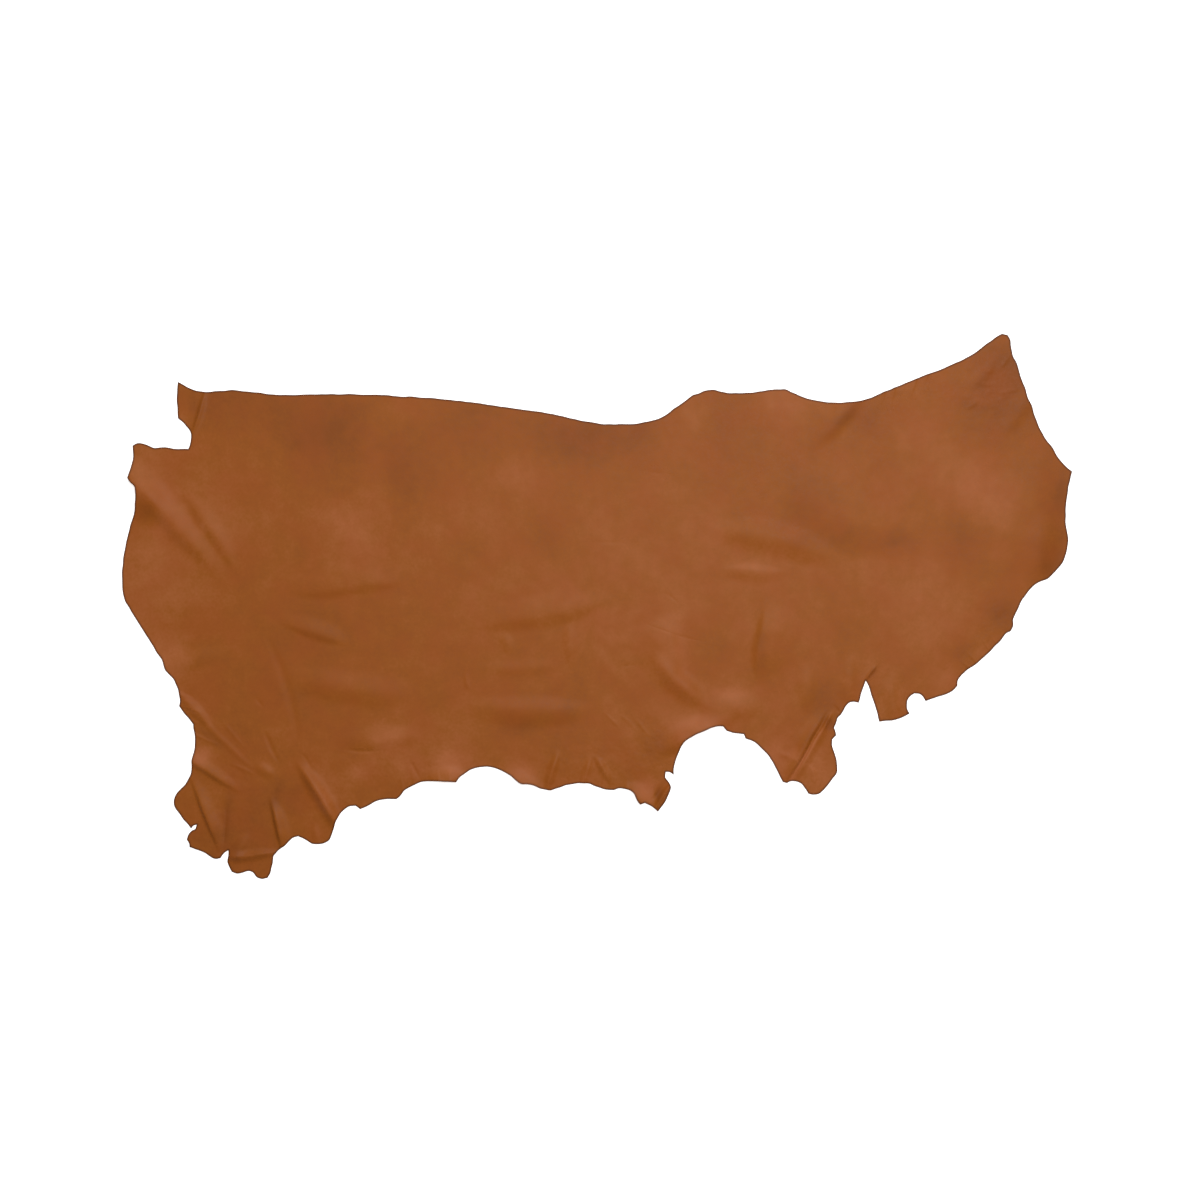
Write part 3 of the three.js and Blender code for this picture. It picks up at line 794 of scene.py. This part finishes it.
    def declare(self, piece: bpy.types.Object, outline: list[Vector]) -> None:
        """Hangs the piece on its body, hides the frame's part that it stands for and logs its area.

        Args:
            piece: the sheet.
            outline: the points of its cut edge.
        """
        pairs = zip(outline, outline[1:] + outline[:1])
        area = abs(sum(a.x * b.y - b.x * a.y for a, b in pairs)) / 2.0
        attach(piece, BODY)
        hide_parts(NODE)
        LOG.info("half_hide: %.3f square metres of leather", area)


def linear(hex_colour: str) -> tuple[float, float, float, float]:
    """Turns an sRGB hex colour to the linear colour that a shader takes.

    Args:
        hex_colour: six hex digits.

    Returns:
        Red, green, blue and alpha.
    """
    channels = (int(hex_colour[start:start + 2], 16) / 255.0 for start in (0, 2, 4))
    return (*(c / 12.92 if c <= 0.04045 else ((c + 0.055) / 1.055) ** 2.4 for c in channels), 1.0)


def add_node(
    tree: bpy.types.NodeTree,
    kind: str,
    sockets: dict[str | int, Any] | None = None,
    **settings: Any,
) -> bpy.types.Node:
    """Adds a node with its settings and links.

    Args:
        tree: the material's nodes.
        kind: the node's type.
        sockets: what goes into each input: the output of another node, or a value.
        settings: the node's own properties.

    Returns:
        The node.
    """
    node = tree.nodes.new(kind)
    for name, value in settings.items():
        setattr(node, name, value)
    for name, value in (sockets or {}).items():
        if isinstance(value, bpy.types.NodeSocket):
            tree.links.new(value, node.inputs[name])
        else:
            node.inputs[name].default_value = value
    return node


def new_material(name: str) -> tuple[bpy.types.Material, bpy.types.NodeTree]:
    """Starts a material with no nodes.

    Args:
        name: of the real material.

    Returns:
        The material and its nodes.
    """
    material = bpy.data.materials.new(name)
    material.use_nodes = True
    tree = material.node_tree
    tree.nodes.clear()
    return material, tree


@dataclass(frozen=True)
class Mottle:
    """A soft noise pattern of the grain.

    Attributes:
        size: of its features, in millimetres.
        detail: how many finer layers it carries.
        dye: how far it turns the dye from dark to pale.
        height: how high it stands, in millimetres.
    """

    size: float
    detail: float
    dye: float = 0.0
    height: float = 0.0


@dataclass(frozen=True)
class GrainFinish:
    """Vegetable-tanned cowhide, drum-dyed tan and lightly waxed, seen on its grain.

    The dye took unevenly, so the eye gets clouds of a darker and a paler brown that drift from red to
    yellow, under a soft sheen that the pores and fine wrinkles of the grain break up. The pores of the
    real grain are under a millimetre; the pebble is drawn some three times as coarse to show at all.
    """

    dark: str = "793f0f"
    base: str = "884912"
    pale: str = "98562d"
    ruddy: str = "8b4415"
    # Painted edge shade: the dark line along the cut edge stands for the edge rolling away from the light and
    # its shadow on the floor, over a partly burnished edge
    burnish_and_edge_shade: str = "3d1c06"
    tone_strength: float = 0.5
    ruddy_share: float = 0.4
    ruddy_limits: tuple[float, float] = (0.4, 0.65)
    roughness: tuple[float, float] = (0.46, 0.56)
    specular: float = 0.13
    cloud: Mottle = Mottle(130.0, 3.0, dye=0.65)
    smudge: Mottle = Mottle(30.0, 3.0, dye=0.4)
    speckle: Mottle = Mottle(7.0, 2.0, dye=0.4)
    drift: Mottle = Mottle(85.0, 2.0)
    cockle: Mottle = Mottle(70.0, 1.0, height=0.8)
    wrinkle: Mottle = Mottle(11.0, 3.0, height=0.15)
    crumple: Mottle = Mottle(38.0, 2.0, height=3.0)
    pebble: float = 3.4
    pebble_height: float = 0.07
    pebble_blur: float = 0.4
    burnish_and_edge_shade_width: float = 5.5
    burnish_and_edge_shade_share: float = 0.95

    def material(self) -> bpy.types.Material:
        """Makes the material of the grain side."""
        material, tree = new_material("tan cowhide, grain")
        coords = add_node(tree, "ShaderNodeTexCoord").outputs["Object"]
        dyes = (self.cloud, self.smudge, self.speckle, self.drift)
        reliefs = (self.cockle, self.wrinkle, self.crumple)
        patterns = {}
        for mottle in (*dyes, *reliefs):
            sockets = {"Vector": coords, "Scale": 1.0 / (mottle.size * MM), "Detail": mottle.detail}
            patterns[mottle] = add_node(tree, "ShaderNodeTexNoise", sockets).outputs["Fac"]
        low, high = self.roughness
        limits = {"From Min": NOISE_LOW, "From Max": NOISE_HIGH, "To Min": low, "To Max": high}
        roughness = add_node(
            tree, "ShaderNodeMapRange", {"Value": patterns[self.speckle], **limits}
        ).outputs["Result"]
        sockets = {
            "Base Color": self.colour(tree, patterns),
            "Roughness": roughness,
            "Specular IOR Level": self.specular,
            "Normal": self.relief(tree, coords, patterns),
        }
        shader = add_node(tree, "ShaderNodeBsdfPrincipled", sockets)
        add_node(tree, "ShaderNodeOutputMaterial", {"Surface": shader.outputs["BSDF"]})
        return material

    def colour(
        self, tree: bpy.types.NodeTree, patterns: dict[Mottle, bpy.types.NodeSocket]
    ) -> bpy.types.NodeSocket:
        """Dyes the grain and paints light into it: the tone patches carry painted shade, highlights and sheen
        besides dye, and the dark line along the cut edge is painted edge shade over a partly burnished edge.

        Args:
            tree: the material's nodes.
            patterns: the noise patterns of the grain.

        Returns:
            The colour.
        """
        # The tone patches: dye, and painted shade and highlights on folds, creases, glints and edges
        shade = add_node(tree, "ShaderNodeAttribute", attribute_name=Sheet.TONE.value).outputs["Fac"]
        shade = add_node(
            tree, "ShaderNodeMath", {0: shade, 1: self.tone_strength, 2: NOISE_MIDDLE}, operation="MULTIPLY_ADD"
        ).outputs[0]
        for mottle in (self.cloud, self.smudge, self.speckle):
            centred = add_node(
                tree, "ShaderNodeMath", {0: patterns[mottle], 1: NOISE_MIDDLE}, operation="SUBTRACT"
            ).outputs[0]
            shade = add_node(
                tree, "ShaderNodeMath", {0: centred, 1: mottle.dye, 2: shade}, operation="MULTIPLY_ADD"
            ).outputs[0]
        ramp = add_node(tree, "ShaderNodeValToRGB", {"Fac": shade})
        ramp.color_ramp.elements.new(NOISE_MIDDLE)
        for element, dye in zip(ramp.color_ramp.elements, (self.dark, self.base, self.pale)):
            element.color = linear(dye)
        low, high = self.ruddy_limits
        drift = add_node(
            tree,
            "ShaderNodeMapRange",
            {"Value": patterns[self.drift], "From Min": low, "From Max": high, "To Max": self.ruddy_share},
        ).outputs["Result"]
        dyed = add_node(
            tree,
            "ShaderNodeMix",
            {Mix.FACTOR: drift, Mix.FIRST: ramp.outputs["Color"], Mix.SECOND: linear(self.ruddy)},
            data_type="RGBA",
        ).outputs[Mix.RESULT]
        # Painted edge shade, partly burnish: darker within a few millimetres of the cut edge
        gap = add_node(tree, "ShaderNodeAttribute", attribute_name=Sheet.EDGE_GAP.value).outputs["Fac"]
        fade = {"From Max": self.burnish_and_edge_shade_width * MM, "To Min": self.burnish_and_edge_shade_share, "To Max": 0.0}
        near = add_node(tree, "ShaderNodeMapRange", {"Value": gap, **fade}).outputs["Result"]
        return add_node(
            tree,
            "ShaderNodeMix",
            {Mix.FACTOR: near, Mix.FIRST: dyed, Mix.SECOND: linear(self.burnish_and_edge_shade)},
            data_type="RGBA",
        ).outputs[Mix.RESULT]

    def relief(
        self,
        tree: bpy.types.NodeTree,
        coords: bpy.types.NodeSocket,
        patterns: dict[Mottle, bpy.types.NodeSocket],
    ) -> bpy.types.NodeSocket:
        """Roughens the grain with cockles, crumpled patches, fine wrinkles and pores.

        Args:
            tree: the material's nodes.
            coords: the places on the sheet.
            patterns: the noise patterns of the grain.

        Returns:
            The normal.
        """
        where = add_node(tree, "ShaderNodeAttribute", attribute_name=Sheet.CRUMPLE.value).outputs["Fac"]
        crumpled = add_node(
            tree, "ShaderNodeMath", {0: patterns[self.crumple], 1: where}, operation="MULTIPLY"
        ).outputs[0]
        pores = add_node(
            tree,
            "ShaderNodeTexVoronoi",
            {"Vector": coords, "Scale": 1.0 / (self.pebble * MM), "Smoothness": self.pebble_blur},
            feature="SMOOTH_F1",
        ).outputs["Distance"]
        normal = None
        for pattern, height in (
            (patterns[self.cockle], self.cockle.height),
            (crumpled, self.crumple.height),
            (patterns[self.wrinkle], self.wrinkle.height),
            (pores, self.pebble_height),
        ):
            sockets = {"Height": pattern, "Distance": height * MM, "Strength": 1.0}
            if normal is not None:
                sockets["Normal"] = normal
            normal = add_node(tree, "ShaderNodeBump", sockets).outputs["Normal"]
        return normal


@dataclass(frozen=True)
class FleshFinish:
    """The flesh side of the same hide, shaved and left raw: a dull, pale nap of short fibres."""

    base: str = "a9754a"
    shade: str = "8d5b34"
    nap: Mottle = Mottle(3.0, 4.0, height=0.3)
    nap_harshness: float = 0.7
    roughness: float = 0.95
    sheen: float = 0.2

    def material(self) -> bpy.types.Material:
        """Makes the material of the flesh side."""
        material, tree = new_material("tan cowhide, flesh")
        coords = add_node(tree, "ShaderNodeTexCoord").outputs["Object"]
        scale = 1.0 / (self.nap.size * MM)
        nap = add_node(
            tree,
            "ShaderNodeTexNoise",
            {"Vector": coords, "Scale": scale, "Detail": self.nap.detail, "Roughness": self.nap_harshness},
        ).outputs["Fac"]
        colour = add_node(
            tree,
            "ShaderNodeMix",
            {Mix.FACTOR: nap, Mix.FIRST: linear(self.shade), Mix.SECOND: linear(self.base)},
            data_type="RGBA",
        ).outputs[Mix.RESULT]
        normal = add_node(
            tree, "ShaderNodeBump", {"Height": nap, "Distance": self.nap.height * MM}
        ).outputs["Normal"]
        shader = add_node(
            tree,
            "ShaderNodeBsdfPrincipled",
            {
                "Base Color": colour,
                "Roughness": self.roughness,
                "Sheen Weight": self.sheen,
                "Normal": normal,
            },
        )
        add_node(tree, "ShaderNodeOutputMaterial", {"Surface": shader.outputs["BSDF"]})
        return material


@dataclass(frozen=True)
class CutEdgeFinish:
    """The knife cut through the hide: matt fibres, darker than the grain where the dye soaked in."""

    base: str = "70401f"
    shade: str = "4d2a13"
    fibre: Mottle = Mottle(2.0, 3.0)
    roughness: float = 0.85

    def material(self) -> bpy.types.Material:
        """Makes the material of the cut edge."""
        material, tree = new_material("tan cowhide, cut edge")
        coords = add_node(tree, "ShaderNodeTexCoord").outputs["Object"]
        fibre = add_node(
            tree,
            "ShaderNodeTexNoise",
            {"Vector": coords, "Scale": 1.0 / (self.fibre.size * MM), "Detail": self.fibre.detail},
        ).outputs["Fac"]
        colour = add_node(
            tree,
            "ShaderNodeMix",
            {Mix.FACTOR: fibre, Mix.FIRST: linear(self.shade), Mix.SECOND: linear(self.base)},
            data_type="RGBA",
        ).outputs[Mix.RESULT]
        shader = add_node(
            tree, "ShaderNodeBsdfPrincipled", {"Base Color": colour, "Roughness": self.roughness}
        )
        add_node(tree, "ShaderNodeOutputMaterial", {"Surface": shader.outputs["BSDF"]})
        return material


@dataclass(frozen=True)
class FloorFinish:
    """A matt white studio floor, lit a little from below so that it stays white to the corners."""

    white: str = "f6f6f6"
    glow: float = 0.65
    roughness: float = 0.9
    specular: float = 0.1

    def material(self) -> bpy.types.Material:
        """Makes the material of the floor."""
        material, tree = new_material("matt white floor")
        shader = add_node(
            tree,
            "ShaderNodeBsdfPrincipled",
            {
                "Base Color": linear(self.white),
                "Roughness": self.roughness,
                "Specular IOR Level": self.specular,
                "Emission Color": linear(self.white),
                "Emission Strength": self.glow,
            },
        )
        add_node(tree, "ShaderNodeOutputMaterial", {"Surface": shader.outputs["BSDF"]})
        return material


@dataclass(frozen=True)
class Lamp:
    """A square softbox that hangs turned to the middle of the hide.

    Attributes:
        name: what it is for.
        place: its middle, in metres.
        size: its side.
        power: in watts.
    """

    name: str
    place: tuple[float, float, float]
    size: float
    power: float

    def hang(self) -> None:
        """Hangs the softbox out of the camera's sight."""
        light = bpy.data.lights.new(self.name, "AREA")
        light.shape = "SQUARE"
        light.size = self.size
        light.energy = self.power
        lamp = bpy.data.objects.new(self.name, light)
        lamp.location = self.place
        lamp.rotation_euler = (-Vector(self.place)).to_track_quat("-Z", "Y").to_euler()
        lamp.visible_camera = False
        bpy.context.scene.collection.objects.link(lamp)


@dataclass
class Studio:
    """The floor, the lights and the camera straight above the hide.

    Attributes:
        floor_size: the side of the floor, in metres.
        floor_drop: how far the floor is below the sheet.
        lamps: the softboxes, both beyond the back line.
        sky: the strength of the white light from all round.
        view_width: the width that the picture takes in.
        view_centre: the place at the middle of the picture.
        lens: of the camera, in millimetres.
    """

    floor_size: float = 200.0
    floor_drop: float = 0.0003
    lamps: tuple[Lamp, ...] = (
        Lamp("key", place=(0.85, 1.5, 5.2), size=2.2, power=192.0),
        Lamp("back", place=(0.8, 7.0, 6.0), size=4.0, power=280.0),
    )
    sky: float = 0.38
    view_width: float = 3.0
    view_centre: tuple[float, float] = (0.0075, 0.01625)
    lens: float = 85.0

    def build(self) -> None:
        """Makes the floor, the lights and the camera."""
        self.lay_floor()
        self.hang_lights()
        self.set_camera()

    def lay_floor(self) -> None:
        """Lays the floor just under the sheet."""
        bm = bmesh.new()
        bmesh.ops.create_grid(bm, x_segments=1, y_segments=1, size=self.floor_size / 2.0)
        bmesh.ops.translate(bm, verts=bm.verts, vec=(0.0, 0.0, -self.floor_drop))
        mesh = bpy.data.meshes.new("floor")
        bm.to_mesh(mesh)
        bm.free()
        mesh.materials.append(FloorFinish().material())
        floor = bpy.data.objects.new("floor", mesh)
        bpy.context.scene.collection.objects.link(floor)

    def hang_lights(self) -> None:
        """Hangs the softboxes and lights the room."""
        for lamp in self.lamps:
            lamp.hang()
        world = bpy.data.worlds.new("studio")
        world.use_nodes = True
        world.node_tree.nodes["Background"].inputs["Color"].default_value = (1.0, 1.0, 1.0, 1.0)
        world.node_tree.nodes["Background"].inputs["Strength"].default_value = self.sky
        bpy.context.scene.world = world
        bpy.context.scene.view_settings.view_transform = "Standard"

    def set_camera(self) -> None:
        """Sets the camera straight above, at the distance that takes in the view's width."""
        data = bpy.data.cameras.new("camera")
        data.lens = self.lens
        camera = bpy.data.objects.new("camera", data)
        camera.location = (*self.view_centre, self.view_width * self.lens / data.sensor_width)
        bpy.context.scene.collection.objects.link(camera)
        bpy.context.scene.camera = camera


def main() -> None:
    """Builds the studio and the leather side."""
    logging.basicConfig(level=logging.INFO, format="%(name)s: %(message)s")
    noise.seed_set(NOISE_SEED)
    Studio().build()
    piece = LeatherSide().build()
    LOG.info("%s stands for %s", piece.name, NODE)


if __name__ == "__main__":
    main()
